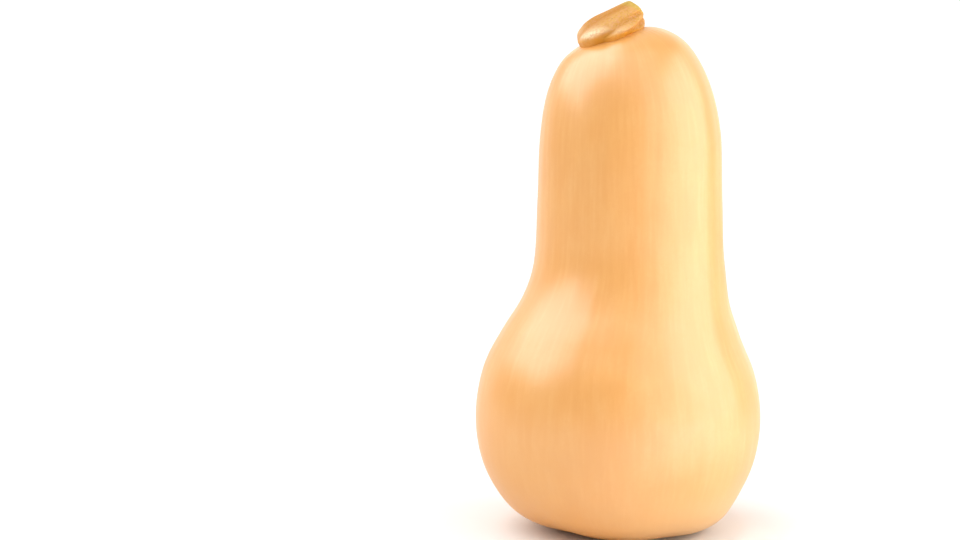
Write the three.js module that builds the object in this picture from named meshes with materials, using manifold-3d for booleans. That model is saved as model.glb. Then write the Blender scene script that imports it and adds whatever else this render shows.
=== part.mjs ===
/**
 * Butternut squash, as picked: the grown fruit and the short woody stem that stays on it.
 *
 * Millimetres, +Z up. The squash stands upright on its blossom end. The origin is on the floor under the
 * middle of the bulb, +X is the side to which the neck and the stem lean, and -Y is the front.
 */
import * as THREE from 'three';
import { mergeVertices } from 'three/addons/utils/BufferGeometryUtils.js';
import Module from 'manifold-3d';

const { degToRad, euclideanModulo, lerp, radToDeg, smoothstep } = THREE.MathUtils;

// Fruit: heights are above the floor, radii are from the fruit's own axis.
const CROWN_HEIGHT = 224;
const BULB_RADIUS = 64.7;
const BULB_HEIGHT = 52; // where the bulb is widest
const DRAW_IN_HEIGHT = 78; // where the bulb starts to draw in to the neck
const WAIST_HEIGHT = 122; // where it has drawn in
const NECK_RADIUS = 41.5;
const NECK_HEIGHT = 150; // where the neck is a plain column
const FOOT_RADIUS = 19; // outer edge of the flat ring it stands on
const SCAR_RADIUS = 7; // blossom scar, inside the flat ring
const SCAR_DEPTH = 1.5;
const DEPTH_RATIO = 0.975; // front to back, against side to side
const CROWN_DEPTH_RATIO = 0.9;

// The axis isn't straight: it stands to +X on the floor and in the neck, and bends back to -X at the crown.
const FOOT_SHIFT = 6.5;
const FOOT_SHIFT_FADE = 7; // height over which the foot's shift dies away
const NECK_SHIFT = 4.6;
const CROWN_SHIFT = -4.5;
const CROWN_TILT = 16.5; // degrees, the crown's +X side is the high one
const SHOULDER_RADIUS = 40.3;
const SHOULDER_HEIGHT = 180; // where the neck starts to close

// Relief of the rind.
const LOBES = 5;
const FURROW_ANGLE = -84; // degrees about the axis of one furrow; the others are evenly round from it
const FURROW_TWIST = -21; // degrees the furrows turn on their way from the floor to the crown
const FURROW_DEPTH = 0.35;
const FURROW_RADII = [12, 37]; // radii on the crown between which the furrows run out
const FURROW_HEIGHTS = [180, 196]; // between which they start, on the shoulder
const FURROW_SHARPNESS = 24;
const GROOVE_DEPTH = 1.1; // the broad grooves between the lobes round the blossom end
const FLOOR_CLEARANCE = 3; // height by which they have their full depth, so that the foot stays flat
const GROOVE_HEIGHTS = [8, 26]; // between which the grooves run out
const GROOVE_SHARPNESS = 4;
const SWELL = 0.45; // slow unevenness of the round body
const SWELL_BASE = [4, 40]; // heights between which it grows to its full size
const TWOFOLD_PITCH = 46; // heights over which its two parts turn by one radian
const THREEFOLD_PITCH = 61;
const SHOULDER_SWELL = 2.6; // how much fuller the bulb's shoulder is in front
const SHOULDER_SWELL_ANGLE = -112; // degrees about the axis at which it is fullest
const SHOULDER_SWELL_BASE = [40, 96]; // heights between which it sets in
const SHOULDER_SWELL_TOP = [96, 128]; // and those between which it dies away

// Stem: a stub that leans over to +X, round which five ridges run down into a flared foot.
const STEM_LENGTH = 18;
const STEM_BACK = [ // its long upper side from the seat to the cut, as [x, height]
  [-19.9, 219.8],
  [-19.9, 222.6],
  [-17.1, 226.4],
  [-13.1, 230.2],
  [-4.8, 234.4],
  [3.2, 238.2],
];
const STEM_BELLY = [ // its short lower side, in the same way
  [9.4, 226],
  [9.8, 228.3],
  [10.1, 230.6],
  [9.6, 232.6],
];
const STEM_HALF_DEPTHS = [17.1, 17.6, 15.2, 11.3, 7.9, 5.6]; // half its width from front to back, likewise
const STEM_FRONT_SHIFT = 0.9; // the stem's middle is a little in front of the fruit's
const STEM_SINK = 5; // how far the blank runs below the seat before the fruit is cut from it
const STEM_UNDERCUT = 0.2; // how far the foot draws in over that depth, as a share of the stem's radius
const STEM_SLANT = 1.1; // how much longer the stem is in front than in its middle, at the cut
const SLANT_START = 0.3; // share of the stem's length at which the slant sets in
const STEM_TURNS = [-185, -140, -105, -84, -52, -16, 16, 51, 88, 131, 175]; // degrees: valley, ridge, valley
const STEM_TWIST = 64; // degrees the ridges turn from the foot to the cut
const FOOT_RIDGE_SHARE = 0.04; // height of the ridges at the foot, as a share of the stem's radius
const RIDGE_SHARE = 0.075; // and on the straight part of the stem
const RIDGE_GROWTH = 0.45; // share of the stem's length at which they are full
const EDGE_ROUND = 0.9; // length over which the cut end's edge is rounded off
const EDGE_SHARE = 0.9; // where that rounding ends, as a share of the cut end's radius
const RIM_SHARE = 0.82; // inner edge of the cut end's rim, likewise
const RECESS_SHARE = 0.72;
const RECESS_DEPTH = 0.7;
const PITH_SHARE = 0.25;
const PITH_DEPTH = 2.2;
const SEAT_GAP = 0.3;

const FRUIT_SEGMENTS = 60; // a multiple of the lobes, so that every furrow lies on a column of vertices
const POINTS_PER_STATION = 3;
const STEM_SEGMENTS = 56;
const STEM_STEPS = 12;

/** The rind's half outline from the flat foot to the middle of the crown, as [radius, height]. */
const RIND_STATIONS = [
  [FOOT_RADIUS, 0],
  [28, 0.8],
  [38, 2.6],
  [48, 8.2],
  [56.7, 20],
  [62.6, 34],
  [BULB_RADIUS, BULB_HEIGHT],
  [61.5, 72],
  [53.5, 90],
  [46.6, 105],
  [42.9, WAIST_HEIGHT],
  [NECK_RADIUS, NECK_HEIGHT],
  [SHOULDER_RADIUS, SHOULDER_HEIGHT],
  [37.1, 197],
  [32.3, 209],
  [26.4, 217.3],
  [17.5, 222.6],
  [8, CROWN_HEIGHT],
  [0, CROWN_HEIGHT - 0.4],
];

/** How far the crown has closed over: 0 up to the shoulder, 1 in the middle of the crown. */
function closing(radius, height) {
  return height > SHOULDER_HEIGHT ? Math.max(0, 1 - radius / SHOULDER_RADIUS) : 0;
}

/** A ring's sideways place along X. */
function axisShift(radius, height) {
  const foot = FOOT_SHIFT * Math.exp(-height / FOOT_SHIFT_FADE);
  const neck = NECK_SHIFT * smoothstep(height, DRAW_IN_HEIGHT, WAIST_HEIGHT);
  const crown = (CROWN_SHIFT - NECK_SHIFT) * closing(radius, height);
  return foot + neck + crown;
}

/** How strongly a furrow shows at this angle: 1 along its line, 0 away from it. */
function furrowLine(angle, height, sharpness) {
  const twist = degToRad(FURROW_TWIST) * (height / CROWN_HEIGHT - 1);
  const across = Math.cos((LOBES / 2) * (angle - degToRad(FURROW_ANGLE) - twist));
  return Math.abs(across) ** sharpness;
}

/** How far the rind stands out from its smooth outline. */
function rindRelief(angle, radius, height) {
  const body = smoothstep(height, ...SWELL_BASE) * (1 - smoothstep(height, SHOULDER_HEIGHT, CROWN_HEIGHT));
  const twofold = Math.sin(2 * angle) * Math.cos(height / TWOFOLD_PITCH);
  const threefold = Math.sin(3 * angle) * Math.sin(height / THREEFOLD_PITCH);
  const swell = SWELL * body * (twofold + threefold);
  const inFront = Math.max(0, Math.cos(angle - degToRad(SHOULDER_SWELL_ANGLE))) ** 2;
  const midway = smoothstep(height, ...SHOULDER_SWELL_BASE) * (1 - smoothstep(height, ...SHOULDER_SWELL_TOP));
  const low = smoothstep(height, 0, FLOOR_CLEARANCE) * (1 - smoothstep(height, ...GROOVE_HEIGHTS));
  const groove = -GROOVE_DEPTH * low * furrowLine(angle, height, GROOVE_SHARPNESS);
  const high = smoothstep(height, ...FURROW_HEIGHTS) * (1 - smoothstep(radius, ...FURROW_RADII));
  const furrow = -FURROW_DEPTH * high * furrowLine(angle, height, FURROW_SHARPNESS);
  return swell + SHOULDER_SWELL * inFront * midway + groove + furrow;
}

/** Revolves an outline of [radius, height] points about Z into a closed surface with shared vertices. */
function revolve(outline, segments) {
  const points = outline.map(([radius, height]) => new THREE.Vector2(radius, height));
  const geometry = new THREE.LatheGeometry(points, segments).rotateX(Math.PI / 2);
  geometry.deleteAttribute('normal');
  geometry.deleteAttribute('uv');
  return mergeVertices(geometry, 1e-3);
}

/** Moves every vertex to move(vertex, normal). */
function reshape(geometry, move) {
  geometry.computeVertexNormals();
  const { position, normal } = geometry.attributes;
  const vertex = new THREE.Vector3();
  const facing = new THREE.Vector3();
  for (let i = 0; i < position.count; i += 1) {
    vertex.fromBufferAttribute(position, i);
    facing.fromBufferAttribute(normal, i);
    const moved = move(vertex, facing);
    position.setXYZ(i, moved.x, moved.y, moved.z);
  }
  geometry.deleteAttribute('normal');
  return geometry;
}

/** The fruit: rind and flesh grown as one piece, from the blossom scar to the seat of the stem. */
function fruitGeometry() {
  const stations = RIND_STATIONS.map(([radius, height]) => new THREE.Vector3(radius, 0, height));
  const rind = new THREE.CatmullRomCurve3(stations);
  const side = rind.getPoints(POINTS_PER_STATION * (stations.length - 1)).map(({ x, z }) => [x, z]);
  side[side.length - 1][0] = 0;
  const scar = [[0, SCAR_DEPTH], [0.6 * SCAR_RADIUS, 0.9 * SCAR_DEPTH], [SCAR_RADIUS, 0]];
  const foot = [[lerp(SCAR_RADIUS, FOOT_RADIUS, 0.5), 0]];
  return reshape(revolve([...scar, ...foot, ...side], FRUIT_SEGMENTS), (vertex, normal) => {
    const height = vertex.z;
    const angle = Math.atan2(vertex.y, vertex.x);
    const radius = Math.hypot(vertex.x, vertex.y);
    vertex.addScaledVector(normal, rindRelief(angle, radius, height));
    const tilt = degToRad(CROWN_TILT) * Math.sin((Math.PI / 2) * closing(radius, height));
    const rise = vertex.z - height;
    return new THREE.Vector3(
      axisShift(radius, height) + vertex.x * Math.cos(tilt) - rise * Math.sin(tilt),
      vertex.y * lerp(DEPTH_RATIO, CROWN_DEPTH_RATIO, closing(radius, height)),
      height + vertex.x * Math.sin(tilt) + rise * Math.cos(tilt),
    );
  });
}

/** The half outline of the unshaped stem, from below its seat to the pith, as [share of radius, length]. */
function stemOutline() {
  const wall = STEM_LENGTH - EDGE_ROUND;
  const steps = Array.from({ length: STEM_STEPS + 1 }, (_, step) => [1, (wall * step) / STEM_STEPS]);
  return [
    [0, -STEM_SINK],
    [1 - STEM_UNDERCUT, -STEM_SINK],
    ...steps,
    [EDGE_SHARE, STEM_LENGTH],
    [RIM_SHARE, STEM_LENGTH],
    [RECESS_SHARE, STEM_LENGTH - RECESS_DEPTH],
    [PITH_SHARE, STEM_LENGTH - RECESS_DEPTH],
    [0.8 * PITH_SHARE, STEM_LENGTH - PITH_DEPTH],
    [0, STEM_LENGTH - PITH_DEPTH],
  ];
}

/** The stem's unevenly spaced ridges: 1 on a ridge, -1 in a valley. */
function ridgeWave(angle) {
  const degrees = euclideanModulo(radToDeg(angle) - STEM_TURNS[0], 360) + STEM_TURNS[0];
  const span = STEM_TURNS.findIndex((turn) => turn > degrees) - 1;
  const share = (degrees - STEM_TURNS[span]) / (STEM_TURNS[span + 1] - STEM_TURNS[span]);
  return -Math.cos(Math.PI * (span + share));
}

/** The stem before the fruit is cut from it: rings that span from its back to its belly. */
function stemBlankGeometry() {
  const toCurve = (points) => new THREE.CatmullRomCurve3(points.map(([x, z]) => new THREE.Vector3(x, 0, z)));
  const back = toCurve(STEM_BACK);
  const belly = toCurve(STEM_BELLY);
  const halfDepth = toCurve(STEM_HALF_DEPTHS.map((depth) => [depth, 0]));
  return reshape(revolve(stemOutline(), STEM_SEGMENTS), (vertex) => {
    const along = Math.max(vertex.z, 0) / STEM_LENGTH;
    const angle = Math.atan2(vertex.y, vertex.x);
    const height = lerp(FOOT_RIDGE_SHARE, RIDGE_SHARE, smoothstep(along, 0, RIDGE_GROWTH));
    const ridge = 1 + height * ridgeWave(angle - degToRad(STEM_TWIST) * along);
    const right = belly.getPoint(along);
    const centre = back.getPoint(along).lerp(right, 0.5);
    const spoke = right.sub(centre);
    const outward = new THREE.Vector3(-spoke.z, 0, spoke.x).normalize();
    const slant = -STEM_SLANT * smoothstep(along, SLANT_START, 1) * vertex.y * ridge;
    const across = vertex.y * ridge * halfDepth.getPoint(along).x - STEM_FRONT_SHIFT;
    centre.addScaledVector(spoke, vertex.x * ridge).addScaledVector(outward, slant);
    return centre.add(new THREE.Vector3(0, across, Math.min(vertex.z, 0)));
  });
}

/** A closed geometry as a solid that can be cut. */
function toSolid(wasm, geometry) {
  return new wasm.Manifold(new wasm.Mesh({
    numProp: 3,
    vertProperties: new Float32Array(geometry.attributes.position.array),
    triVerts: new Uint32Array(geometry.index.array),
  }));
}

/** A solid as a geometry with shared vertices. */
function toGeometry(solid) {
  const { vertProperties, triVerts } = solid.getMesh();
  const geometry = new THREE.BufferGeometry();
  geometry.setAttribute('position', new THREE.BufferAttribute(vertProperties, 3));
  geometry.setIndex(new THREE.BufferAttribute(triVerts, 1));
  return mergeVertices(geometry, 1e-3);
}

/** The stem, its foot hollowed to sit on the crown with an even gap, without the loose scraps of the cut. */
function stemGeometry(wasm, fruit) {
  const raised = toSolid(wasm, fruit).translate([0, 0, SEAT_GAP]);
  const bodies = toSolid(wasm, stemBlankGeometry()).subtract(raised).decompose();
  return toGeometry(bodies.reduce((best, body) => (body.volume() > best.volume() ? body : best)));
}

/** One named piece with its own material. */
function piece(name, geometry, look) {
  geometry.computeVertexNormals();
  const mesh = new THREE.Mesh(geometry, new THREE.MeshStandardMaterial(look));
  mesh.name = name;
  return mesh;
}

const wasm = await Module();
wasm.setup();

const fruit = fruitGeometry();
const squash = new THREE.Group();
squash.name = 'butternut_squash';
squash.add(
  piece('fruit', fruit, { color: '#e8ab68', roughness: 0.42, metalness: 0 }),
  piece('stem', stemGeometry(wasm, fruit), { color: '#b98a4f', roughness: 0.85, metalness: 0 }),
);

export default squash;
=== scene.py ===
# %% [markdown]
# # A butternut squash
#
# A butternut squash is a bottle of solid flesh: a round bulb at the blossom end, a long neck above it, and
# a short corky stem where the fruit hung from its vine. The rind is thin, hard and a little waxy. The stem
# is dry, ridged and rough.
#
# This file starts from the plain solid part, a fruit and a stem, which stays as it is for collisions. Over
# each of the two it grows a finer mesh from the same measures, and then mixes a finish for each surface.

import math

import bmesh
import bpy
import numpy as np
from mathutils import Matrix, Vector, noise
from mathutils.bvhtree import BVHTree


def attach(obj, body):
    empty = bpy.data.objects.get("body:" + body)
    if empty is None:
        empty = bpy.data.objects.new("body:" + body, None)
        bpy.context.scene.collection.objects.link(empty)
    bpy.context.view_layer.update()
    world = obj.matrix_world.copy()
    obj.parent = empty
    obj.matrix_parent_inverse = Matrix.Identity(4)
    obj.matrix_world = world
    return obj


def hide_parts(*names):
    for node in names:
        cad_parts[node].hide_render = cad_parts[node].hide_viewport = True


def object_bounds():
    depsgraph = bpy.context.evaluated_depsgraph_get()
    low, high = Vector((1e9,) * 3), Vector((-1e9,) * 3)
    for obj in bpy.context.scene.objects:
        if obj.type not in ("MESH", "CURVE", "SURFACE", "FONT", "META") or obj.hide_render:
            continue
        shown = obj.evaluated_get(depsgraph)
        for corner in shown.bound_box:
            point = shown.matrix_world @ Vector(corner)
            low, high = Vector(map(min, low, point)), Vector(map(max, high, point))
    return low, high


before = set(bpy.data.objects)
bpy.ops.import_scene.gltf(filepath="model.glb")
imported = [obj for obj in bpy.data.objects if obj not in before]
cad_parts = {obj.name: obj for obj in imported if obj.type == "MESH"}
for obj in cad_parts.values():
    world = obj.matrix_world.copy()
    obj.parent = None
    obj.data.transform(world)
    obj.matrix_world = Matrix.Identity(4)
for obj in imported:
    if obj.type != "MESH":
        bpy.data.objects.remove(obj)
solid_low, solid_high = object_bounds()
solid_size = solid_high - solid_low
print("solid squash, mm:", [round(1000 * side, 1) for side in solid_size])

# %% [markdown]
# ## Measures
#
# Blender counts in metres, but a squash is easier to think of in millimetres, so every measure here is in
# millimetres and only the finished vertices are multiplied by `MM`. The rind is given by its half outline:
# pairs of a radius and a height, from the flat foot up over the bulb and the neck to the crown. The same
# pairs made the solid part, so the fine skin lies on it with no fitting.

# %% Measures of the fruit
MM = 0.001

CROWN_HEIGHT = 224
BULB_RADIUS = 64.7
BULB_HEIGHT = 52
DRAW_IN_HEIGHT = 78
WAIST_HEIGHT = 122
NECK_RADIUS = 41.5
NECK_HEIGHT = 150
SHOULDER_RADIUS = 40.3
SHOULDER_HEIGHT = 180
FOOT_RADIUS = 19
SCAR_RADIUS = 7
SCAR_DEPTH = 1.5
DEPTH_RATIO = 0.975
CROWN_DEPTH_RATIO = 0.9

RIND_STATIONS = [
    (FOOT_RADIUS, 0),
    (28, 0.8),
    (38, 2.6),
    (48, 8.2),
    (56.7, 20),
    (62.6, 34),
    (BULB_RADIUS, BULB_HEIGHT),
    (61.5, 72),
    (53.5, 90),
    (46.6, 105),
    (42.9, WAIST_HEIGHT),
    (NECK_RADIUS, NECK_HEIGHT),
    (SHOULDER_RADIUS, SHOULDER_HEIGHT),
    (37.1, 197),
    (32.3, 209),
    (26.4, 217.3),
    (17.5, 222.6),
    (8, CROWN_HEIGHT),
    (0, CROWN_HEIGHT - 0.4),
]
print(len(RIND_STATIONS), "stations from the foot to the crown")

# %% [markdown]
# ## A smooth outline through the stations
#
# A few stations are easy to read and to change, but the rind needs a smooth line through them. A Bezier
# curve object could do that, with two handles to place at every station. A Catmull-Rom curve needs no
# handles, because it takes its slope at each station from the two neighbours. The centripetal kind used
# here spaces its steps by the square root of the distance, so it makes no loops where stations are close.

# %% Smooth line through stations
def ease(value, low, high):
    """0 below low, 1 above high, and a soft S between them."""
    share = np.clip((np.asarray(value, float) - low) / (high - low), 0, 1)
    return share * share * (3 - 2 * share)


def smooth_line(stations, at):
    """Points of a centripetal Catmull-Rom curve. `at` counts spans: 2.5 is halfway along the third."""
    known = np.asarray(stations, float)
    known = np.vstack([2 * known[0] - known[1], known, 2 * known[-1] - known[-2]])
    span = np.minimum(np.asarray(at).astype(int), len(known) - 4)
    share = (at - span)[:, None]
    before, start, end, after = (known[span + step] for step in range(4))
    step_in, step, step_out = (
        np.maximum(np.linalg.norm(b - a, axis=1, keepdims=True) ** 0.5, 1e-4)
        for a, b in ((before, start), (start, end), (end, after))
    )
    slope_in = (start - before) / step_in - (end - before) / (step_in + step) + (end - start) / step
    slope_out = (end - start) / step - (after - start) / (step + step_out) + (after - end) / step_out
    slope_in, slope_out = slope_in * step, slope_out * step
    square = -3 * start + 3 * end - 2 * slope_in - slope_out
    cube = 2 * start - 2 * end + slope_in + slope_out
    return start + slope_in * share + square * share**2 + cube * share**3


RIND_STEPS = 13
spans = len(RIND_STATIONS) - 1
side = smooth_line(RIND_STATIONS, np.linspace(0, spans, RIND_STEPS * spans + 1))
side[-1, 0] = 0
print("rind outline:", len(side), "points, widest radius", round(side[:, 0].max(), 2), "mm")

# %% [markdown]
# ## The foot and the blossom scar
#
# The squash stands on a flat ring round its blossom end. Inside the ring is a small hollow, where the
# flower dropped off. In the outline these are a few points on the floor and a few points going up into the
# hollow. The ring has to stay flat, so it gets no relief at all.

# %% Outline from the middle of the scar to the middle of the crown
SCAR_STEPS = 9
SCAR_WALL_START = 0.55

scar_share = np.linspace(0, 1, SCAR_STEPS)
scar_depth = SCAR_DEPTH * (1 - ease(scar_share, SCAR_WALL_START, 1))
scar_line = np.column_stack([SCAR_RADIUS * scar_share, scar_depth])
foot_radii = np.linspace(SCAR_RADIUS, FOOT_RADIUS, SCAR_STEPS)[1:-1]
foot_line = np.column_stack([foot_radii, np.zeros_like(foot_radii)])
outline = np.vstack([scar_line, foot_line, side])
radius, height = outline[:, :1], outline[:, 1:]
steps = np.linalg.norm(np.diff(outline, axis=0), axis=1)
arc = np.concatenate([[0], np.cumsum(steps)])[:, None]
slope = np.gradient(outline, axis=0)
slope[len(scar_line) : len(scar_line) + len(foot_line)] = (1, 0)
facing = np.column_stack([slope[:, 1], -slope[:, 0]])
facing /= np.maximum(np.linalg.norm(facing, axis=1, keepdims=True), 1e-9)
print("outline:", len(outline), "points,", round(float(arc[-1, 0])), "mm from scar to crown")

# %% [markdown]
# ## A bent axis
#
# A real squash is never turned on a lathe. This one stands a little to one side on its foot, its neck leans
# to the same side, and its crown falls back to the other and tilts. A Lattice or a bent Curve modifier
# could do it, but both bend everything at once. Here each ring has its own small shift, and the rings of
# the crown tilt more and more as they close over.

# %% Shift and tilt of every ring
FOOT_SHIFT = 6.5
FOOT_SHIFT_FADE = 7
NECK_SHIFT = 4.6
CROWN_SHIFT = -4.5
CROWN_TILT = math.radians(16.5)

closing = np.where(height > SHOULDER_HEIGHT, np.maximum(0, 1 - radius / SHOULDER_RADIUS), 0)
axis_shift = (
    FOOT_SHIFT * np.exp(-height / FOOT_SHIFT_FADE)
    + NECK_SHIFT * ease(height, DRAW_IN_HEIGHT, WAIST_HEIGHT)
    + (CROWN_SHIFT - NECK_SHIFT) * closing
)
tilt = CROWN_TILT * np.sin(math.pi / 2 * closing)
flattening = DEPTH_RATIO + (CROWN_DEPTH_RATIO - DEPTH_RATIO) * closing
print("crown tilts by", round(math.degrees(tilt.max()), 1), "degrees")

# %% [markdown]
# ## Lobes, furrows and swells
#
# Five lobes grow together into the fruit. They show as broad grooves round the blossom end and as shallow
# furrows that start on the shoulder and meet at the stem, clear at the back and faint in front. Between
# them the body is slightly uneven, and the bulb begins a little higher in front than at the back. A
# Displace modifier with a texture would spread the same relief everywhere, so the relief is written as a
# function of the angle round the fruit and the height, with one term for each thing that grew there.

# %% Measures of the relief that the solid part has too
LOBES = 5
FURROW_ANGLE = math.radians(-84)
FURROW_TWIST = math.radians(-21)
FURROW_DEPTH = 0.35
FURROW_RADII = (12, 37)
FURROW_HEIGHTS = (180, 196)
FURROW_SHARPNESS = 24
CLEAR_ANGLE = math.radians(96)
CLEARNESS_MIDDLE = 0.55
CLEARNESS_SWING = 0.45
GROOVE_DEPTH = 1.1
FLOOR_CLEARANCE = 3
GROOVE_HEIGHTS = (8, 26)
GROOVE_SHARPNESS = 4
SWELL = 0.45
SWELL_BASE = (4, 40)
TWOFOLD_PITCH = 46
THREEFOLD_PITCH = 61
SHOULDER_SWELL = 2.6
SHOULDER_SWELL_ANGLE = math.radians(-112)
SHOULDER_SWELL_BASE = (40, 96)
SHOULDER_SWELL_TOP = (96, 128)
print(LOBES, "lobes, grooves", GROOVE_DEPTH, "mm and furrows", FURROW_DEPTH, "mm deep")

# %% Swell the body and press the grooves and furrows in
COLUMNS = 360
angle = np.linspace(0, 2 * math.pi, COLUMNS, endpoint=False)[None, :]


def furrow_line(sharpness):
    """1 along the five furrows and 0 between them; the sharper, the narrower."""
    twist = FURROW_TWIST * (height / CROWN_HEIGHT - 1)
    return np.abs(np.cos(LOBES / 2 * (angle - FURROW_ANGLE - twist))) ** sharpness


body = ease(height, *SWELL_BASE) * (1 - ease(height, SHOULDER_HEIGHT, CROWN_HEIGHT))
twofold = np.sin(2 * angle) * np.cos(height / TWOFOLD_PITCH)
threefold = np.sin(3 * angle) * np.sin(height / THREEFOLD_PITCH)
near_foot = ease(height, 0, FLOOR_CLEARANCE) * (1 - ease(height, *GROOVE_HEIGHTS))
near_stem = ease(height, *FURROW_HEIGHTS) * (1 - ease(radius, *FURROW_RADII))
relief = SWELL * body * (twofold + threefold)
in_front = np.maximum(0, np.cos(angle - SHOULDER_SWELL_ANGLE)) ** 2
midway = ease(height, *SHOULDER_SWELL_BASE) * (1 - ease(height, *SHOULDER_SWELL_TOP))
relief = relief + SHOULDER_SWELL * in_front * midway
relief = relief - GROOVE_DEPTH * near_foot * furrow_line(GROOVE_SHARPNESS)
clearness = CLEARNESS_MIDDLE + CLEARNESS_SWING * np.cos(angle - CLEAR_ANGLE)
relief = relief - FURROW_DEPTH * clearness * near_stem * furrow_line(FURROW_SHARPNESS)
print("broad relief from", round(relief.min(), 2), "to", round(relief.max(), 2), "mm")

# %% [markdown]
# ## Fine relief
#
# Close to, the neck has faint lengthwise flutes, which break the edge of every highlight into streaks. The
# furrows have a crease along their bottom, and the rind puckers into small wrinkles where it meets the
# stem. These are shapes, not colours, so they go into the mesh. All of them only press in, which keeps the
# skin inside the solid's box.

# %% Flutes, creases and wrinkles
FLUTES = [
    # how many there are round the fruit, how deep, where they start, how far they wander
    (7, 0.06, 0.4, 0.9),
    (12, 0.05, 2.1, 1.3),
    (19, 0.045, 4.4, 1.1),
    (31, 0.028, 1.2, 2.0),
]
FLUTE_WANDER = 55
CROWN_RIM = 8
CROWN_SMOOTHNESS = 0.7
CREASE_SHARPNESS = 420
CREASE_DEPTH = 0.1
CREASE_RADII = (20, 36)
WRINKLE_COUNT = 44
WRINKLE_DEPTH = 0.1
WRINKLE_RADII = (16, 25)
WRINKLE_SWAY = 3
WRINKLE_SWAY_PITCH = 6

flutes = sum(
    depth * (np.cos(count * angle + start + wander * np.sin(height / FLUTE_WANDER + count)) - 1)
    for count, depth, start, wander in FLUTES
)
crease_run = ease(height, *FURROW_HEIGHTS) * (1 - ease(radius, *CREASE_RADII))
crease = crease_run * clearness**2 * furrow_line(CREASE_SHARPNESS)
on_crown = ease(height, SHOULDER_HEIGHT, CROWN_HEIGHT - CROWN_RIM)
wrinkle_run = on_crown * (1 - ease(radius, *WRINKLE_RADII))
wrinkle_sway = WRINKLE_SWAY * np.sin(3 * angle + radius / WRINKLE_SWAY_PITCH)
wrinkles = np.cos(WRINKLE_COUNT * angle + wrinkle_sway) - 1
relief = relief + ease(height, *SWELL_BASE) * (1 - CROWN_SMOOTHNESS * on_crown) * flutes
relief = relief - CREASE_DEPTH * crease + WRINKLE_DEPTH / 2 * wrinkle_run * wrinkles
print("with the fine relief from", round(relief.min(), 2), "to", round(relief.max(), 2), "mm")

# %% [markdown]
# ## The rind
#
# Now the rings become a mesh: every point of the outline goes round the axis in 360 steps, is pushed along
# the direction it faces by its relief, and takes its ring's tilt, shift and flattening. `grid_piece` joins
# the rings with quads and closes both ends with one vertex each, so the rind is a single closed skin.

# %% Join rings into a piece
def grid_piece(name, points):
    """A closed mesh from rings of points in mm, first and last ring each drawn to one vertex."""
    rows, columns, _ = points.shape
    inner = points[1:-1].reshape(-1, 3)
    ends = np.vstack([points[0].mean(0), points[-1].mean(0)])
    vertices = np.vstack([inner, ends]) * MM
    number = np.arange((rows - 2) * columns).reshape(rows - 2, columns)
    beside = np.roll(number, -1, axis=1)
    quads = np.stack([number[:-1], beside[:-1], beside[1:], number[1:]], -1).reshape(-1, 4)
    first, last = len(inner), len(inner) + 1
    faces = quads.tolist()
    faces += [(first, b, a) for a, b in zip(number[0].tolist(), beside[0].tolist())]
    faces += [(last, a, b) for a, b in zip(number[-1].tolist(), beside[-1].tolist())]
    mesh = bpy.data.meshes.new(name)
    mesh.from_pydata(vertices.tolist(), [], faces)
    mesh.shade_smooth()
    piece = bpy.data.objects.new(name, mesh)
    bpy.context.scene.collection.objects.link(piece)
    return piece


def note_on(piece, name, values):
    """Keeps a number or a vector for every point of a grid piece, for its finish to read."""
    inner = values[1:-1].reshape(-1, *values.shape[2:])
    ends = np.stack([values[0].mean(0), values[-1].mean(0)])
    every = np.concatenate([inner, ends]).astype(np.float32)
    kind, field = ("FLOAT_VECTOR", "vector") if values.ndim == 3 else ("FLOAT", "value")
    piece.data.attributes.new(name, kind, "POINT").data.foreach_set(field, every.ravel())


def volume_of(piece):
    """Litres inside a closed piece."""
    measured = bmesh.new()
    measured.from_mesh(piece.data)
    litres = measured.calc_volume() * 1000
    measured.free()
    return litres


# %% Grow the rind
out = radius + facing[:, :1] * relief
across = out * np.cos(angle)
rise = facing[:, 1:] * relief
rind_points = np.stack(
    [
        axis_shift + across * np.cos(tilt) - rise * np.sin(tilt),
        out * np.sin(angle) * flattening,
        height + across * np.sin(tilt) + rise * np.cos(tilt),
    ],
    -1,
)
rind = grid_piece("squash_rind", rind_points)
print("rind:", len(rind.data.polygons), "faces,", round(volume_of(rind), 3), "litres")

# %% [markdown]
# Streaks on the rind run lengthwise, whichever way the fruit bends there. A finish that only knows the
# place in space can't follow them, so the rind carries its own directions: a point on a unit circle for the
# way round, with the length along the skin as the third number. A texture that is stretched along that
# third number draws lines from the scar to the stem, and has no seam, because a circle has none. It also
# carries two broad patches low on its sides, both painted light: a deeper orange one on the left, painted
# shade with orange bounce light, and a paler one on the right front, painted light bounced up from the
# table.

# %% Directions for the rind's finish
COLLAR_RADII = (15, 34)
BLOSSOM_END_RUN = (22, 95)
SCAR_RUN = (5, 10)
# Painted shade with orange bounce light, low on the rind's left side
PAINTED_SHADE_ANGLE = math.radians(195)
PAINTED_SHADE_HEIGHTS = (30, 80)
# Painted light bounced up from the table, low on the rind's right front
PAINTED_BOUNCE_ANGLE = math.radians(-35)
PAINTED_BOUNCE_HEIGHTS = (8, 36)


def all_round(values):
    """A value of every ring of the rind, the same all the way round."""
    return np.broadcast_to(values, relief.shape)


def side_patch(middle_angle, heights):
    """1 low on the side that looks that way, fading round the fruit and up between two heights."""
    facing_it = np.maximum(0, np.cos(angle - middle_angle)) ** 2
    return facing_it * (1 - ease(height, *heights))


way_round = [all_round(np.cos(angle)), all_round(np.sin(angle))]
note_on(rind, "grain", np.stack([*way_round, all_round(arc / NECK_RADIUS)], -1))
note_on(rind, "crease", crease)
note_on(rind, "collar", all_round(on_crown * (1 - ease(radius, *COLLAR_RADII))))
note_on(rind, "blossom_end", all_round(1 - ease(arc, *BLOSSOM_END_RUN)))
note_on(rind, "scar", all_round(1 - ease(arc, *SCAR_RUN)))
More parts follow.
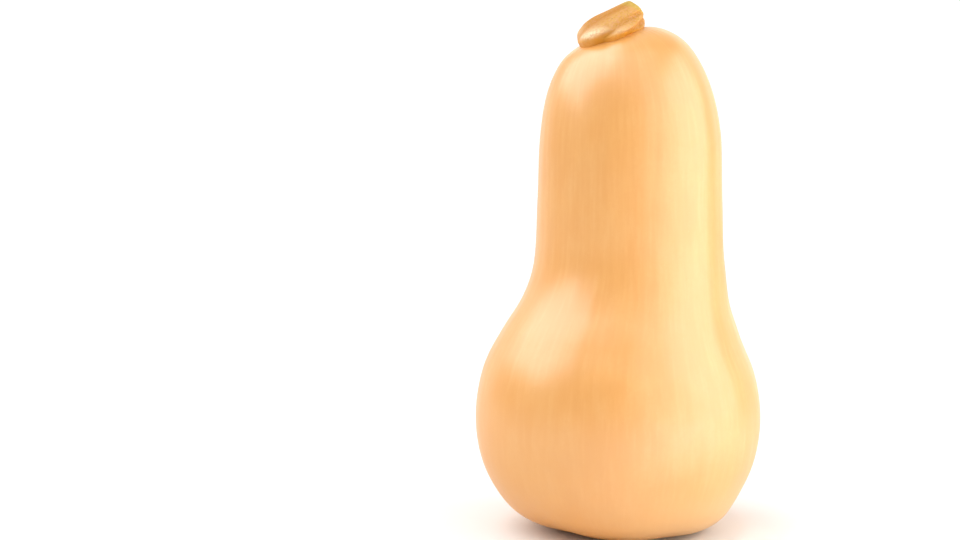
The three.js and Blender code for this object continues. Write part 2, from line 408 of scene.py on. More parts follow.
# painted shade with orange bounce light, low on the left side
note_on(rind, "painted_side_shade", side_patch(PAINTED_SHADE_ANGLE, PAINTED_SHADE_HEIGHTS))
# painted light bounced up from the table, low on the right front
note_on(rind, "painted_bounce_light", side_patch(PAINTED_BOUNCE_ANGLE, PAINTED_BOUNCE_HEIGHTS))
print("rind carries", [a.name for a in rind.data.attributes if not a.name.startswith(".")])

# %% [markdown]
# ## The stem
#
# The stem is a stub cut off a hand's breadth from the vine. It leans far over, so its back is long and its
# belly short, and it spreads into a foot with five rounded corners, one above each furrow. A tube along a
# curve would pinch on the belly side. Two lines work better: one up the back and one up the belly, with
# every ring stretched from one to the other and a third line for how deep the ring is from front to back.

# %% Lines of the stem
STEM_LENGTH = 18
STEM_BACK = [(-19.9, 219.8), (-19.9, 222.6), (-17.1, 226.4), (-13.1, 230.2), (-4.8, 234.4), (3.2, 238.2)]
STEM_BELLY = [(9.4, 226), (9.8, 228.3), (10.1, 230.6), (9.6, 232.6)]
STEM_HALF_DEPTHS = [17.1, 17.6, 15.2, 11.3, 7.9, 5.6]
STEM_FRONT_SHIFT = 0.9
STEM_SINK = 5
STEM_UNDERCUT = 0.2
STEM_SLANT = 1.1
SLANT_START = 0.3
STEM_TURNS = [-185, -140, -105, -84, -52, -16, 16, 51, 88, 131, 175]
STEM_TWIST = 64
FOOT_RIDGE_SHARE = 0.04
RIDGE_SHARE = 0.075
RIDGE_GROWTH = 0.45
EDGE_ROUND = 0.9
EDGE_SHARE = 0.9
RIM_SHARE = 0.82
RECESS_SHARE = 0.72
RECESS_DEPTH = 0.7
PITH_SHARE = 0.25
PITH_DEPTH = 2.2
CUT_RINGS = [
    # share of the radius and depth under the end of the stem, from the rim into the pith
    (0.87, 0.02), (0.84, 0.08), (RIM_SHARE, 0.16), (0.78, 0.4), (0.75, 0.62), (RECESS_SHARE, RECESS_DEPTH),
    (0.66, 0.7), (0.58, 0.66), (0.5, 0.66), (0.42, 0.68), (0.35, 0.74), (0.3, 0.88),
    (PITH_SHARE, 1.1), (0.23, 1.6), (0.21, 2), (0.15, PITH_DEPTH), (0.08, PITH_DEPTH), (0, PITH_DEPTH),
]
print(len(STEM_BACK), "stations up the back of the stem and", len(STEM_BELLY), "up its belly")

# %% Rings up the wall, round the edge and into the pith
STEM_COLUMNS = 240
STEM_ROWS = 90
EDGE_ROWS = 6
stem_angle = np.linspace(0, 2 * math.pi, STEM_COLUMNS, endpoint=False)[None, :]
wall = np.column_stack([np.ones(STEM_ROWS), np.linspace(0, STEM_LENGTH - EDGE_ROUND, STEM_ROWS)])
quarter = np.linspace(0, math.pi / 2, EDGE_ROWS + 1)[1:]
edge = np.column_stack([
    EDGE_SHARE + (1 - EDGE_SHARE) * np.cos(quarter),
    STEM_LENGTH - EDGE_ROUND * (1 - np.sin(quarter)),
])
cut_share, cut_depth = np.array(CUT_RINGS).T
cut_end = np.column_stack([cut_share, STEM_LENGTH - cut_depth])
stem_line = np.vstack([wall, edge, cut_end])
share, length = stem_line[:, :1], stem_line[:, 1:]
reach = length / STEM_LENGTH
print("stem:", len(stem_line), "rings,", len(edge) + len(cut_end), "of them on the cut end")

# %% [markdown]
# A stem dries as it ripens. Its five ridges stand out, thinner ribs show between them, and the cork on top
# cracks and flakes. Towards the cut the ridges on the belly side are worn lower, and the end draws in a
# little. `noise.noise` gives a soft random number for any place in space and always the same one, so a few
# sizes of it, stretched along the stem, give fibres and knobs that come out alike every time.

# %% Ridges, ribs and cork
HOLLOW_REACH = 0.12
HOLLOW_SPREAD = 0.16
HOLLOW_DEPTH = 0.05
HOLLOW_SHARES = [0.5, 1, 0.1, 0.8, 0.6, 0.5]
RIBS_PER_RIDGE = 3
RIB_SWAY = 0.8
RIB_SHARE = 0.01
FIBRE_SHARE = 0.009
KNOB_SHARE = 0.02
BARK_START = 0.7
GROWN_REACH = 0.3
BELLY_WEAR = 0.5
BELLY_WEAR_REACH = (0.5, 0.8)
DRAWN_IN = 0.018
DRAWN_IN_REACH = (0.6, 1)
STEM_RADIUS = 8


def knobbly(points, size, seed):
    """Soft random numbers from -1 to 1 for an array of places."""
    flat = points.reshape(-1, 3) / size + seed
    return np.array([noise.noise(place) for place in flat.tolist()]).reshape(points.shape[:-1])


def ridge_phase(angle):
    """Counts the stem's uneven valleys and ridges round it: even in a valley, odd on a ridge."""
    degrees = (np.degrees(angle) - STEM_TWIST * np.clip(reach, 0, 1) - STEM_TURNS[0]) % 360 + STEM_TURNS[0]
    return np.interp(degrees, STEM_TURNS, np.arange(len(STEM_TURNS)))


ridge_wave = -np.cos(math.pi * ridge_phase(stem_angle))
rib_sway = RIB_SWAY * np.sin(4 * reach)
rib_wave = np.cos(RIBS_PER_RIDGE * math.pi * ridge_phase(stem_angle) + rib_sway)
hollow = (0.5 - 0.5 * ridge_wave) ** 2 * np.exp(-(((reach - HOLLOW_REACH) / HOLLOW_SPREAD) ** 2))
hollow = hollow * np.interp(ridge_phase(stem_angle), range(0, 11, 2), HOLLOW_SHARES)
ring_places = np.stack(
    [
        STEM_RADIUS * np.cos(stem_angle) * share,
        STEM_RADIUS * np.sin(stem_angle) * share,
        np.broadcast_to(STEM_LENGTH * reach, (len(reach), STEM_COLUMNS)),
    ],
    -1,
)
fibres = knobbly(ring_places * (1, 1, 0.12), size=0.7, seed=3.1)
knobs = knobbly(ring_places * (1, 1, 0.6), size=2.6, seed=11.7)
ridge_share = FOOT_RIDGE_SHARE + (RIDGE_SHARE - FOOT_RIDGE_SHARE) * ease(reach, 0, RIDGE_GROWTH)
on_belly = 0.5 + 0.5 * np.cos(stem_angle)
worn = 1 - BELLY_WEAR * ease(reach, *BELLY_WEAR_REACH) * on_belly
swell_out = 1 + ridge_share * worn * ridge_wave - HOLLOW_DEPTH * hollow
on_bark = ease(share, BARK_START, 1)
swell_out = swell_out + on_bark * ease(reach, 0, GROWN_REACH) * RIB_SHARE * rib_wave
swell_out = swell_out + on_bark * (FIBRE_SHARE * fibres + KNOB_SHARE * knobs)
swell_out = swell_out - DRAWN_IN * ease(reach, *DRAWN_IN_REACH)
print("stem ridges from", round(swell_out.min(), 3), "to", round(swell_out.max(), 3), "of its radius")

# %% Rings of the stem between its back and its belly
def on_line(stations):
    """The stem's line at every ring, from 0 at its foot to 1 at the cut."""
    return smooth_line(stations, reach[:, 0] * (len(stations) - 1))


back, belly = on_line(STEM_BACK), on_line(STEM_BELLY)
half_depth = on_line([(depth, 0) for depth in STEM_HALF_DEPTHS])[:, :1]
middle = (back + belly) / 2
spoke = belly - middle
onward = np.column_stack([-spoke[:, 1], spoke[:, 0]])
onward /= np.linalg.norm(onward, axis=1, keepdims=True)
reached = share * np.cos(stem_angle) * swell_out
slant = -STEM_SLANT * ease(reach, SLANT_START, 1) * share * np.sin(stem_angle) * swell_out
stem_points = np.stack(
    [
        middle[:, :1] + spoke[:, :1] * reached + onward[:, :1] * slant,
        share * np.sin(stem_angle) * swell_out * half_depth - STEM_FRONT_SHIFT,
        middle[:, 1:] + spoke[:, 1:] * reached + onward[:, 1:] * slant,
    ],
    -1,
)
print("stem top at", round(stem_points[..., 2].max(), 2), "mm, solid top at", round(1000 * solid_high.z, 2))

# %% [markdown]
# On the real squash the stem has grown out of the fruit, so nothing shows between them. The wall of the
# stem is carried on down, drawing in a little, until it is just under the rind. How far down that is differs
# all the way round, so every column of the wall goes down in short steps, and at each step a ray is dropped
# on the rind, as a builder would drop a plumb line.

# %% Root the stem in the rind
ROOT_DEPTH = 1.2
SKIRT_ROWS = 14
STEP_DOWN = 0.1
PLUMB_HEIGHT = 300

rind_tree = BVHTree.FromObject(rind, bpy.context.evaluated_depsgraph_get())


def above_rind(point):
    """Height in mm of a point over the rind's outer side, less than 0 inside the fruit."""
    x, y, z = point
    hit = rind_tree.ray_cast(Vector((x, y, PLUMB_HEIGHT)) * MM, Vector((0, 0, -1)))[0]
    return z - hit.z / MM


def lowered(ring, depth):
    """The foot ring carried down by a depth for each column, drawing in as it goes."""
    inward = 1 - STEM_UNDERCUT * depth / STEM_SINK
    low = foot_middle + (ring - foot_middle) * inward[..., None]
    low[..., 2] = ring[..., 2] - depth
    return low


foot_ring = stem_points[0]
foot_middle = np.array([middle[0, 0], -STEM_FRONT_SHIFT, 0])
depth = np.zeros(STEM_COLUMNS)
for column in range(STEM_COLUMNS):
    here = foot_ring[column]
    while above_rind(here) > -ROOT_DEPTH:
        depth[column] += STEP_DOWN
        here = lowered(foot_ring, depth)[column]
skirt_share = np.linspace(1, 0, SKIRT_ROWS, endpoint=False)[:, None]
skirt = np.stack([lowered(foot_ring, depth * part) for part in skirt_share[:, 0]])
sole = np.repeat(skirt[:1].mean(1, keepdims=True), STEM_COLUMNS, axis=1)
stem_points = np.concatenate([sole, skirt, stem_points])
stem = grid_piece("squash_stem", stem_points)
print("stem:", len(stem.data.polygons), "faces, carried down by up to", round(depth.max(), 1), "mm")

# %% Directions for the stem's finish
def with_skirt(values):
    """A value of every ring of the stem, carried on down to its sole."""
    grid = np.broadcast_to(values, (len(reach), STEM_COLUMNS))
    return np.concatenate([np.repeat(grid[:1], SKIRT_ROWS + 1, axis=0), grid])


KNOB_SHADE = 0.35
# The orange band just above the rind is painted shade and orange bounce light under the foot
FOOT_SHADE_BAND = (0.02, 0.18)
GRAIN_START = 220

note_on(stem, "ridge", with_skirt(0.5 + 0.5 * ridge_wave + KNOB_SHADE * knobs))
note_on(stem, "reach", with_skirt(reach))
note_on(stem, "skirt", with_skirt(1 - ease(reach, *FOOT_SHADE_BAND)))
note_on(stem, "back", with_skirt(1 - on_belly))
note_on(stem, "from_pith", with_skirt(share))
note_on(stem, "hollow", with_skirt(hollow))
way_round = [with_skirt(np.cos(stem_angle)), with_skirt(np.sin(stem_angle))]
note_on(stem, "grain", np.stack([*way_round, (stem_points[..., 2] - GRAIN_START) / STEM_RADIUS], -1))
print("stem carries", [a.name for a in stem.data.attributes if not a.name.startswith(".")])

# %% [markdown]
# ## The blossom scar
#
# Under the squash, in the hollow of its foot, sits a dry corky button. It is hardly ever seen, but a part
# is turned over sooner or later. It is a low dome of rings, cracked in rays from its middle.

# %% Grow the button in the scar
BUTTON_RADIUS = 5.6
BUTTON_RISE = 0.9
BUTTON_SUNK = 0.3
BUTTON_CRACKS = 9
CRACK_SHARPNESS = 14
CRACK_DEPTH = 0.45
LUMP_HEIGHT = 0.12
DOME_ROWS = 22
BUTTON_COLUMNS = 96

flat_back = np.array([0, 0.4, 0.8, 1])
dome_share = np.linspace(1, 0, DOME_ROWS)
button_share = np.concatenate([flat_back, dome_share])[:, None]
button_drop = np.concatenate([np.zeros_like(flat_back), (1 - dome_share**2) ** 0.6])[:, None]
button_angle = np.linspace(0, 2 * math.pi, BUTTON_COLUMNS, endpoint=False)[None, :]
crack_sway = 0.5 * np.sin(3 * button_angle)
cracks = np.abs(np.cos(BUTTON_CRACKS / 2 * button_angle + crack_sway)) ** CRACK_SHARPNESS
button_edge = 1 + 0.06 * np.cos(5 * button_angle + 1) + 0.03 * np.cos(11 * button_angle)
button_radius = BUTTON_RADIUS * button_share * button_edge
dome = BUTTON_RISE * button_drop * (1 - CRACK_DEPTH * cracks * ease(button_share, 0.1, 0.9))
button_points = np.stack(
    [
        FOOT_SHIFT + button_radius * np.cos(button_angle),
        button_radius * np.sin(button_angle) * DEPTH_RATIO,
        SCAR_DEPTH + BUTTON_SUNK - dome,
    ],
    -1,
)
button_lumps = knobbly(button_points, size=0.8, seed=5.3)
button_points[..., 2] -= LUMP_HEIGHT * button_lumps * (button_drop > 0)
button = grid_piece("blossom_scar", button_points)
print("lowest point of the button:", round(button_points[..., 2].min(), 2), "mm above the floor")

# %% [markdown]
# ## Shader maths that reads like maths
#
# A finish is a net of nodes, and plain Python for it soon drowns in sockets and links. `Strand` wraps one
# output socket. Adding or multiplying strands adds Math nodes, and the reflected forms let a number stand
# first, as in `1 - mask`. Every other node comes from one method, `node`, which takes the kind of node, its
# settings, and what goes into its sockets. Colours go through Mix nodes, because Math turns them grey.

# %% Strand, the wrapped socket
class Strand:
    """One output of a shader node, ready for sums."""

    def __init__(self, tree, socket=None):
        self.tree = tree
        self.socket = socket

    def node(self, kind, settings=None, feeds=None, output=0):
        """Adds a node: settings first, then values or strands into its sockets."""
        made = self.tree.nodes.new(kind)
        for name, value in (settings or {}).items():
            setattr(made, name, value)
        for name, value in (feeds or {}).items():
            if isinstance(value, Strand):
                self.tree.links.new(value.socket, made.inputs[name])
            else:
                made.inputs[name].default_value = value
        return Strand(self.tree, made.outputs[output] if made.outputs else None)

    def sum(self, operation, first, second):
        return self.node("ShaderNodeMath", {"operation": operation}, {0: first, 1: second})

    def __add__(self, other):
        return self.sum("ADD", self, other)

    def __sub__(self, other):
        return self.sum("SUBTRACT", self, other)

    def __rsub__(self, other):
        return self.sum("SUBTRACT", other, self)

    def __mul__(self, other):
        return self.sum("MULTIPLY", self, other)

    __radd__ = __add__
    __rmul__ = __mul__


# %% [markdown]
# A few helpers cover nearly all of a natural surface. `soft` turns a number into a mask between two levels.
# `tint` mixes two colours by a mask, and `layered` does so many times over, like thin washes of paint.
# `cloud` is soft noise of a given size, and `dots` are small round spots, some of them missing, as pores in
# a skin are. Sizes are in millimetres wherever the place is.

# %% Helpers for masks and colours
def soft(value, low, high):
    """A mask that goes softly from 0 at low to 1 at high."""
    return value.node(
        "ShaderNodeMapRange",
        {"interpolation_type": "SMOOTHSTEP"},
        {"Value": value, "From Min": low, "From Max": high},
    )


def tint(mask, first, second):
    """The first colour where the mask is 0, the second where it is 1."""
    first, second = (c if isinstance(c, Strand) else (*c, 1) for c in (first, second))
    return mask.node("ShaderNodeMix", {"data_type": "RGBA"}, {0: mask, 6: first, 7: second}, output=2)


def layered(ground, layers):
    """Colours laid over a ground one by one, each as its mask, how much of it, and the colour."""
    colour = ground
    for mask, amount, cover in layers:
        colour = tint(mask * amount, colour, cover)
    return colour


def stretched(place, factors):
    """A place multiplied along its three directions."""
    return place.node("ShaderNodeVectorMath", {"operation": "MULTIPLY"}, {0: place, 1: factors})


def cloud(place, size, detail=2.0, roughness=0.5):
    """Soft noise from 0 to 1, with lumps of about that size."""
    feeds = {"Vector": place, "Scale": 1 / size, "Detail": detail, "Roughness": roughness}
    return place.node("ShaderNodeTexNoise", {}, feeds)


def dots(place, spacing, dot_radius, share):
    """Round spots on a jittered lattice, of which only a share shows."""
    cell = {"Vector": place, "Scale": 1 / spacing}
    distance = place.node("ShaderNodeTexVoronoi", {}, cell, output="Distance")
    chance = place.node("ShaderNodeTexVoronoi", {}, cell, output="Color")
    edge = dot_radius / spacing
    chosen = soft(1 - chance.node("ShaderNodeSeparateColor", {}, {0: chance}), 1 - share, 1.02 - share)
    return (1 - soft(distance, 0.5 * edge, edge)) * chosen


# %% [markdown]
# A finish starts with its ground: the place in millimetres, the numbers that the piece carries, and a
# Principled shader at the end. `Finish` keeps those three together.

# %% Start and end of a finish
class Finish:
    """A material in the making."""

    def __init__(self, name):
        self.material = bpy.data.materials.new(name)
        self.material.use_nodes = True
        self.material.node_tree.nodes.clear()
        self.start = Strand(self.material.node_tree)
        here = self.start.node("ShaderNodeTexCoord", output="Object")
        self.place = stretched(here, (1 / MM, 1 / MM, 1 / MM))

    def carried(self, name, output="Fac"):
        """A number that the piece carries; output="Vector" for a vector."""
        return self.start.node("ShaderNodeAttribute", {"attribute_name": name}, output=output)

    def done(self, colour, roughness, height_mm, **constants):
        """Ends in a Principled shader with a bump whose height is in mm."""
        bump = self.start.node("ShaderNodeBump", {}, {"Height": height_mm, "Distance": MM, "Strength": 1})
        feeds = {"Base Color": colour, "Roughness": roughness, "Normal": bump, **constants}
        shader = self.start.node("ShaderNodeBsdfPrincipled", {}, feeds)
        self.start.node("ShaderNodeOutputMaterial", {}, {"Surface": shader})
        return self.material


# %% [markdown]
# ## The waxy rind
#
# The rind is a warm orange tan under a thin natural wax. Its colour isn't even: paler round the stem and a
# little deeper towards the blossom end. Long faint streaks lie on top of soft blotches, and the pores are
# just a little lighter. Painted light is added as well: painted shade with orange bounce light low on the
# left, painted light from the table low on the right front, and painted shade along the creases of the
# furrows. The wax gives a satin highlight, and the streaks fray its edges. One way would be a painted
# image, but noise at the right sizes has no seams and stays sharp close to.

# %% Colours of the rind
RIND_DEEP = (0.77, 0.335, 0.059)
RIND_TAN = (0.80, 0.38, 0.085)
RIND_PALE = (0.86, 0.52, 0.205)
RIND_BLOSSOM = (0.77, 0.34, 0.07)
# Painted shade with orange bounce light, for the low left side
RIND_PAINTED_SHADE = (0.72, 0.29, 0.01)
# Painted shade along the creases of the furrows
RIND_CREASE_SHADE = (0.66, 0.25, 0.05)
SCAR_TAN = (0.50, 0.30, 0.14)
SPECK_BROWN = (0.42, 0.27, 0.08)
SPECKS = [
    # place in mm and radius of a few small corky specks
    (39.9, -21.2, 163.2, 0.7),
    (43.3, -14.6, 184.9, 0.5),
    (-30.1, 27.5, 140.0, 0.8),
    (12.0, 61.0, 66.0, 0.9),
    (-52.0, 34.0, 40.0, 0.6),
]
SPECK_CORE = 0.4

skin = Finish("rind_skin")
grain = skin.carried("grain", "Vector")
blotches = cloud(skin.place, 24, detail=3)
streaks = cloud(stretched(grain, (1, 1, 0.09)), 0.055, detail=3, roughness=0.6)
threads = cloud(stretched(grain, (1, 1, 0.035)), 0.017, detail=2)
mottle = cloud(skin.place, 2.4, detail=3, roughness=0.6)
pores = dots(skin.place, 3.1, 0.42, 0.6)
print("rind skin:", len(skin.material.node_tree.nodes), "nodes so far")

# %% Mix the rind's colour
patches = soft(blotches * 0.6 + streaks * 0.4, 0.36, 0.66)
colour = layered(tint(patches, RIND_DEEP, RIND_TAN), [
    (soft(streaks, 0.5, 0.76), 0.1, RIND_PALE),
    (soft(threads, 0.55, 0.75), 0.05, RIND_PALE),
    (soft(mottle, 0.45, 0.7), 0.3, RIND_DEEP),
    (pores, 0.12, RIND_PALE),
    (skin.carried("blossom_end"), 0.5, RIND_BLOSSOM),
    # painted shade with orange bounce light, low on the left side
    (skin.carried("painted_side_shade"), 0.65, RIND_PAINTED_SHADE),
    # painted light bounced up from the table, low on the right front
    (skin.carried("painted_bounce_light"), 0.75, RIND_PALE),
    (skin.carried("collar"), 0.35, RIND_PALE),
    # painted shade along the creases of the furrows
    (skin.carried("crease"), 0.6, RIND_CREASE_SHADE),
    (skin.carried("scar") * soft(mottle, 0.3, 0.6), 1, SCAR_TAN),
])
for *speck_place, speck_radius in SPECKS:
    both = {0: skin.place, 1: speck_place}
    gap = skin.start.node("ShaderNodeVectorMath", {"operation": "DISTANCE"}, both, output="Value")
    on_speck = 1 - soft(gap, SPECK_CORE * speck_radius, speck_radius)
    colour = layered(colour, [(on_speck, 0.7, SPECK_BROWN)])
print("rind colour:", len(skin.material.node_tree.nodes), "nodes so far")

# %% Gloss and pores of the rind
gloss = 0.32 + 0.06 * mottle + 0.10 * skin.carried("crease") + 0.3 * skin.carried("scar")
dents = 0.018 * cloud(skin.place, 1.5, detail=2) + 0.02 * mottle
dents = dents + 0.008 * threads + 0.022 * streaks - 0.015 * pores
rind_skin = skin.done(colour, gloss, dents, **{"IOR": 1.65, "Specular IOR Level": 1.0})
rind.data.materials.append(rind_skin)
print("rind skin:", len(rind_skin.node_tree.nodes), "nodes")

# %% [markdown]
# ## The corky stem
#
# The bark of the stem is tan where its ridges have been rubbed and brown in the valleys, with brown blots,
# pinkish flakes and dark specks, and fibres that run its whole length. The broad lobes of its foot are
# paler on the back, partly their own colour and partly a painted highlight where the left light falls, and
# smooth enough for a faint sheen. Beyond them the top of the back is painted darker, as painted shade, and
# the rim of the cut is yellowish. The band just above the rind is painted orange, as painted shade with
# orange light bounced from the rind under the overhanging foot, and the hollows where the valleys meet the
# foot get painted shade too. The ridges are in the mesh already, and the stem carries them as a number, so
# the valleys' brown falls exactly in the valleys.

# %% Bark of the stem
BARK_TAN = (0.65, 0.325, 0.05)
BARK_PALE = (0.95, 0.72, 0.43)
BARK_BROWN = (0.57, 0.235, 0.012)
BARK_FLAKE = (0.66, 0.31, 0.16)
BARK_RIM = (0.56, 0.43, 0.07)
# Painted shade and orange bounce light, for the band under the foot
BARK_FOOT_SHADE = (0.71, 0.29, 0.008)
BARK_SPECK = (0.40, 0.22, 0.03)
# Painted shade for the top of the stem's back
BARK_SHADE = (0.45, 0.16, 0.0)

bark = Finish("stem_bark")
bark_grain = bark.carried("grain", "Vector")
long_fibres = cloud(stretched(bark_grain, (1, 1, 0.16)), 0.07, detail=4, roughness=0.65)
fine_fibres = cloud(stretched(bark_grain, (1, 1, 0.12)), 0.025, detail=2)
flakes = cloud(bark.place, 1.1, detail=4, roughness=0.7)
blots = cloud(bark.place, 2.1, detail=3, roughness=0.6)
specks = dots(bark.place, 1.7, 0.46, 0.45)
print("stem bark:", len(bark.material.node_tree.nodes), "nodes so far")

# %% Where the bark is on the stem
on_ridge = soft(bark.carried("ridge") + 0.5 * flakes, 0.1, 1.3)
near_foot = 1 - soft(bark.carried("reach"), 0.2, 0.54)
near_cut = soft(bark.carried("reach"), 0.86, 0.97)
on_back = soft(bark.carried("back"), 0.15, 0.6)
# The top of the back, where painted shade darkens the bark
painted_shade_on_back = soft(bark.carried("back"), 0.55, 0.9) * (1 - near_foot)
clean_at_foot = 1 - 0.7 * near_foot
print("masks of the bark:", len(bark.material.node_tree.nodes), "nodes so far")

# %% Mix the bark's colour
bark_colour = layered(tint(on_ridge, BARK_BROWN, BARK_TAN), [
    # pale foot lobes on the back: partly their own colour, partly a painted highlight from the left light
    ((0.12 + 0.88 * on_ridge) * (0.94 * near_foot * on_back + 0.06), 1, BARK_PALE),
    (soft(long_fibres, 0.5, 0.7), 0.15, BARK_PALE),
    (soft(blots, 0.5, 0.62) * clean_at_foot, 0.5, BARK_BROWN),
    (soft(flakes, 0.46, 0.62), 0.6, BARK_FLAKE),
    # painted shade on the top of the back
    (painted_shade_on_back, 0.4, BARK_SHADE),
    # painted shade and orange bounce light on the band just above the rind
    (bark.carried("skirt"), 0.85, BARK_FOOT_SHADE),
    (near_cut, 0.6, BARK_RIM),
    (specks * clean_at_foot, 0.5, BARK_SPECK),
    # painted shade in the hollows where the valleys meet the foot
    (bark.carried("hollow") * (0.5 + 0.5 * flakes), 1, BARK_BROWN),
])
print("bark colour:", len(bark.material.node_tree.nodes), "nodes so far")

# %% Roughness and grain of the bark
flake_height = 0.22 - 0.12 * near_foot
bark_height = 0.1 * long_fibres + 0.05 * fine_fibres + flake_height * flakes - 0.1 * specks
bark_rough = 0.64 - 0.22 * near_foot * on_back + 0.2 * flakes
stem_bark = bark.done(bark_colour, bark_rough, bark_height, **{"Specular IOR Level": 0.5})
stem.data.materials.append(stem_bark)
print("stem bark:", len(stem_bark.node_tree.nodes), "nodes")

# %% [markdown]
# The cut end shows what the stem is made of: an orange-brown rim of bark, a ring of yellow-green tissue
# round a pale core, and a dark hollow pith. It is the same mesh with a second material, which goes to every
# face inside the rounded edge.

# %% Cut end of the stem
TISSUE = (0.62, 0.44, 0.13)
TISSUE_PALE = (0.76, 0.60, 0.30)
TISSUE_GREEN = (0.44, 0.38, 0.10)
PITH_DARK = (0.10, 0.055, 0.02)

cut = Finish("stem_cut")
from_pith = cut.carried("from_pith")
cut_grain = cloud(cut.place, 0.7, detail=4, roughness=0.7)
cut_rays = cloud(stretched(cut.carried("grain", "Vector"), (1, 1, 0)), 0.12, detail=2)
cut_colour = layered(tint(soft(cut_rays, 0.4, 0.62), TISSUE, TISSUE_PALE), [
    (soft(from_pith + 0.2 * cut_grain, 0.55, 0.85), 0.7, TISSUE_GREEN),
    (soft(from_pith, 0.86, 0.97), 1, BARK_BROWN),
    (1 - soft(from_pith + 0.1 * cut_grain, 0.24, 0.38), 1, PITH_DARK),
])
cut_height = 0.3 * cut_grain + 0.12 * cut_rays
stem_cut = cut.done(cut_colour, 0.75 + 0.15 * cut_grain, cut_height, **{"Specular IOR Level": 0.3})
stem.data.materials.append(stem_cut)

# %% Give the faces of the cut end their material
cut_start = STEM_COLUMNS * (SKIRT_ROWS + STEM_ROWS + len(edge) - 2)
sole_vertex = len(stem.data.vertices) - 2
pith_vertex = len(stem.data.vertices) - 1
cut_faces = 0
for face in stem.data.polygons:
    on_cut = max(face.vertices) < sole_vertex and min(face.vertices) >= cut_start
    face.material_index = int(on_cut or pith_vertex in face.vertices)
    cut_faces += face.material_index
print("cut end:", cut_faces, "faces")

# %% [markdown]
# The button in the blossom scar is cork too, greyer than the stem, because it has been dry for longest.

# %% Cork of the blossom scar
CORK_TAN = (0.42, 0.27, 0.13)
CORK_DARK = (0.16, 0.09, 0.04)
cork = Finish("scar_cork")
cork_lumps = cloud(cork.place, 0.6, detail=4, roughness=0.7)
cork_colour = tint(soft(cork_lumps, 0.38, 0.62), CORK_DARK, CORK_TAN)
cork_rough = 0.8 + 0.15 * cork_lumps
scar_cork = cork.done(cork_colour, cork_rough, 0.3 * cork_lumps, **{"Specular IOR Level": 0.25})
button.data.materials.append(scar_cork)
print("scar cork:", len(scar_cork.node_tree.nodes), "nodes")

# %% [markdown]
# ## Every piece takes its place
#
# The fine pieces take over from the plain solids, which stay hidden for collisions. All of them belong to
# the one body, because nothing on a squash moves.

# %% Pieces and bodies
for piece in (rind, stem, button):
    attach(piece, "root")
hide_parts("fruit")
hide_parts("stem")
print("pieces:", [piece.name for piece in (rind, stem, button)])

# %% [markdown]
# ## Camera
#
# The squash is seen from the front, standing off to the right, from a little above. A long lens from a metre
# away keeps the bulb from looking bigger than it is.

# %% Camera
AIM = Vector((-0.0625, 0, 0.1179))
DISTANCE = 1.02
LOOKING_DOWN = math.radians(8)

camera_data = bpy.data.cameras.new("camera")
camera_data.lens = 85
camera_data.sensor_width = 36
camera_data.clip_start = 0.01
camera = bpy.data.objects.new("camera", camera_data)
camera.location = AIM + DISTANCE * Vector((0, -math.cos(LOOKING_DOWN), math.sin(LOOKING_DOWN)))
camera.rotation_euler = (math.pi / 2 - LOOKING_DOWN, 0, 0)
bpy.context.scene.collection.objects.link(camera)
bpy.context.scene.camera = camera
print("camera at", [round(c, 3) for c in camera.location])

# %% [markdown]
# ## Studio
#
# A small white table in a white room, with large soft lights. The one on the left stands high and makes the
# bright patch on the shoulder of the neck and on the bulb. The tall one on the right, with a dimmer one
# beside it, washes a third of the fruit. Two low ones behind brighten the edges, and one overhead fills the
# front. Large lights give soft shadows, and they show in the waxy rind as broad patches.

# %% Table
TABLE_RADIUS = 0.9
PAPER_DIM = (0.83, 0.83, 0.83)
PAPER_WHITE = (0.87, 0.87, 0.87)

table_mesh = bpy.data.meshes.new("table")
table_shape = bmesh.new()
bmesh.ops.create_circle(table_shape, cap_ends=True, cap_tris=True, segments=96, radius=TABLE_RADIUS)
table_shape.to_mesh(table_mesh)
table_shape.free()
table = bpy.data.objects.new("table", table_mesh)
bpy.context.scene.collection.objects.link(table)
paper = Finish("table_paper")
paper_fibres = cloud(paper.place, 0.5, detail=2)
paper_colour = tint(paper_fibres, PAPER_DIM, PAPER_WHITE)
table_paper = paper.done(paper_colour, 0.85 + 0.1 * paper_fibres, 0.02 * paper_fibres)
table_mesh.materials.append(table_paper)
print("table:", 2 * TABLE_RADIUS, "m across")

# %% Soft lights
LIT_POINT = Vector((0, 0, 0.12))


def soft_light(name, azimuth, elevation, width, tall, brightness, distance=2.4):
    """A rectangular light that faces the squash. Azimuth 0 degrees is its right side and 90 its back."""
    turn, lift = math.radians(azimuth), math.radians(elevation)
    away = Vector((math.cos(turn) * math.cos(lift), math.sin(turn) * math.cos(lift), math.sin(lift)))
    data = bpy.data.lights.new(name, "AREA")
    data.shape = "RECTANGLE"
    data.size, data.size_y = width, tall
    data.energy = math.pi * width * tall * brightness
    light = bpy.data.objects.new(name, data)
    light.location = LIT_POINT + distance * away
    light.rotation_euler = away.to_track_quat("Z", "Y").to_euler()
    light.visible_camera = False
    bpy.context.scene.collection.objects.link(light)
    return data.energy


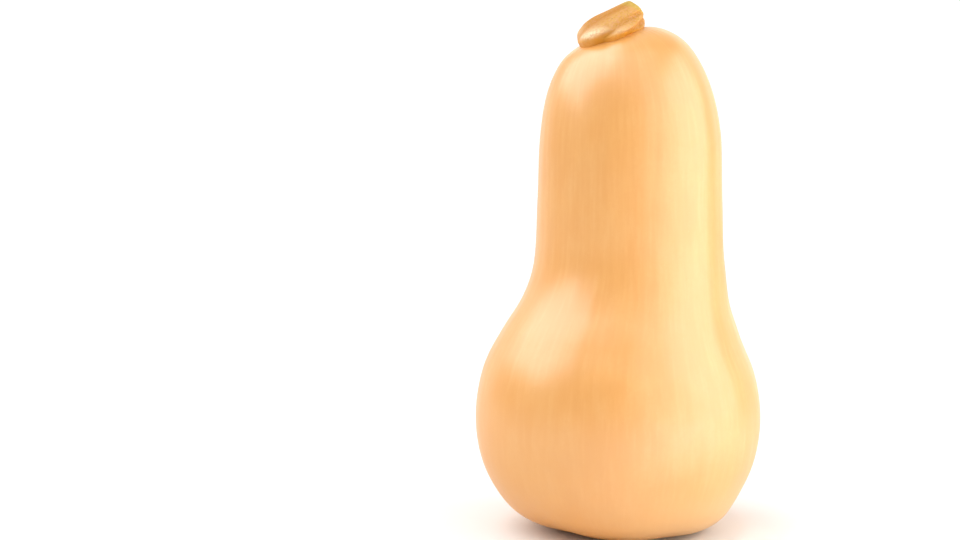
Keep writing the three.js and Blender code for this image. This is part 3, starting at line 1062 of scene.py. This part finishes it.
powers = [
    # name, azimuth, elevation, width and height in metres, brightness
    soft_light("left_light", 170, 48, 2.9, 2.7, 2.45),
    soft_light("right_light", -5, 17, 1.15, 1.4, 2.12, distance=1.25),
    soft_light("front_right_light", -49, 17, 0.98, 1.2, 1.03, distance=1.25),
    soft_light("back_light", 70, 14, 3.0, 1.7, 1.05),
    soft_light("back_left_light", 122, 4, 2.2, 1.0, 0.6),
    soft_light("top_light", -85, 62, 2.6, 1.9, 0.75),
]
print("lights, W:", [round(power, 1) for power in powers])

# %% [markdown]
# The last light shines on the table alone, on the right, and the underside of the bulb gets what the white
# paper sends back. Its beam is kept narrow and points away from the squash, so it adds no patch of its own.

# %% Light on the table
TABLE_LIGHT_FROM = Vector((0.26, -0.16, 0.9))
TABLE_LIGHT_TO = Vector((0.40, -0.26, 0))
TABLE_LIGHT_SIZE = 0.3
TABLE_LIGHT_POWER = 3.0
TABLE_LIGHT_SPREAD = math.radians(45)

table_light = bpy.data.lights.new("table_light", "AREA")
table_light.shape = "DISK"
table_light.size = TABLE_LIGHT_SIZE
table_light.energy = TABLE_LIGHT_POWER
table_light.spread = TABLE_LIGHT_SPREAD
table_lamp = bpy.data.objects.new("table_light", table_light)
table_lamp.location = TABLE_LIGHT_FROM
table_lamp.rotation_euler = (TABLE_LIGHT_FROM - TABLE_LIGHT_TO).to_track_quat("Z", "Y").to_euler()
table_lamp.visible_camera = False
bpy.context.scene.collection.objects.link(table_lamp)
print("table light, W:", table_light.energy)

# %% [markdown]
# The room is the world background, the same white all round. The camera sees it as fully white, but it lends
# the squash only about half of that light, so that the soft lights can still shape it.

# %% White room
ROOM_LIGHT = 0.515
ROOM_SEEN = 1.1

world = bpy.data.worlds.new("white_room")
world.use_nodes = True
world.node_tree.nodes.clear()
room = Strand(world.node_tree)
seen = room.node("ShaderNodeLightPath", output="Is Camera Ray")
room_strength = ROOM_LIGHT + (ROOM_SEEN - ROOM_LIGHT) * seen
room_light = room.node("ShaderNodeBackground", {}, {"Color": (1, 1, 1, 1), "Strength": room_strength})
room.node("ShaderNodeOutputWorld", {}, {"Surface": room_light})
bpy.context.scene.world = world
bpy.context.scene.view_settings.view_transform = "Standard"
print("room lends", ROOM_LIGHT, "and shows as", ROOM_SEEN)
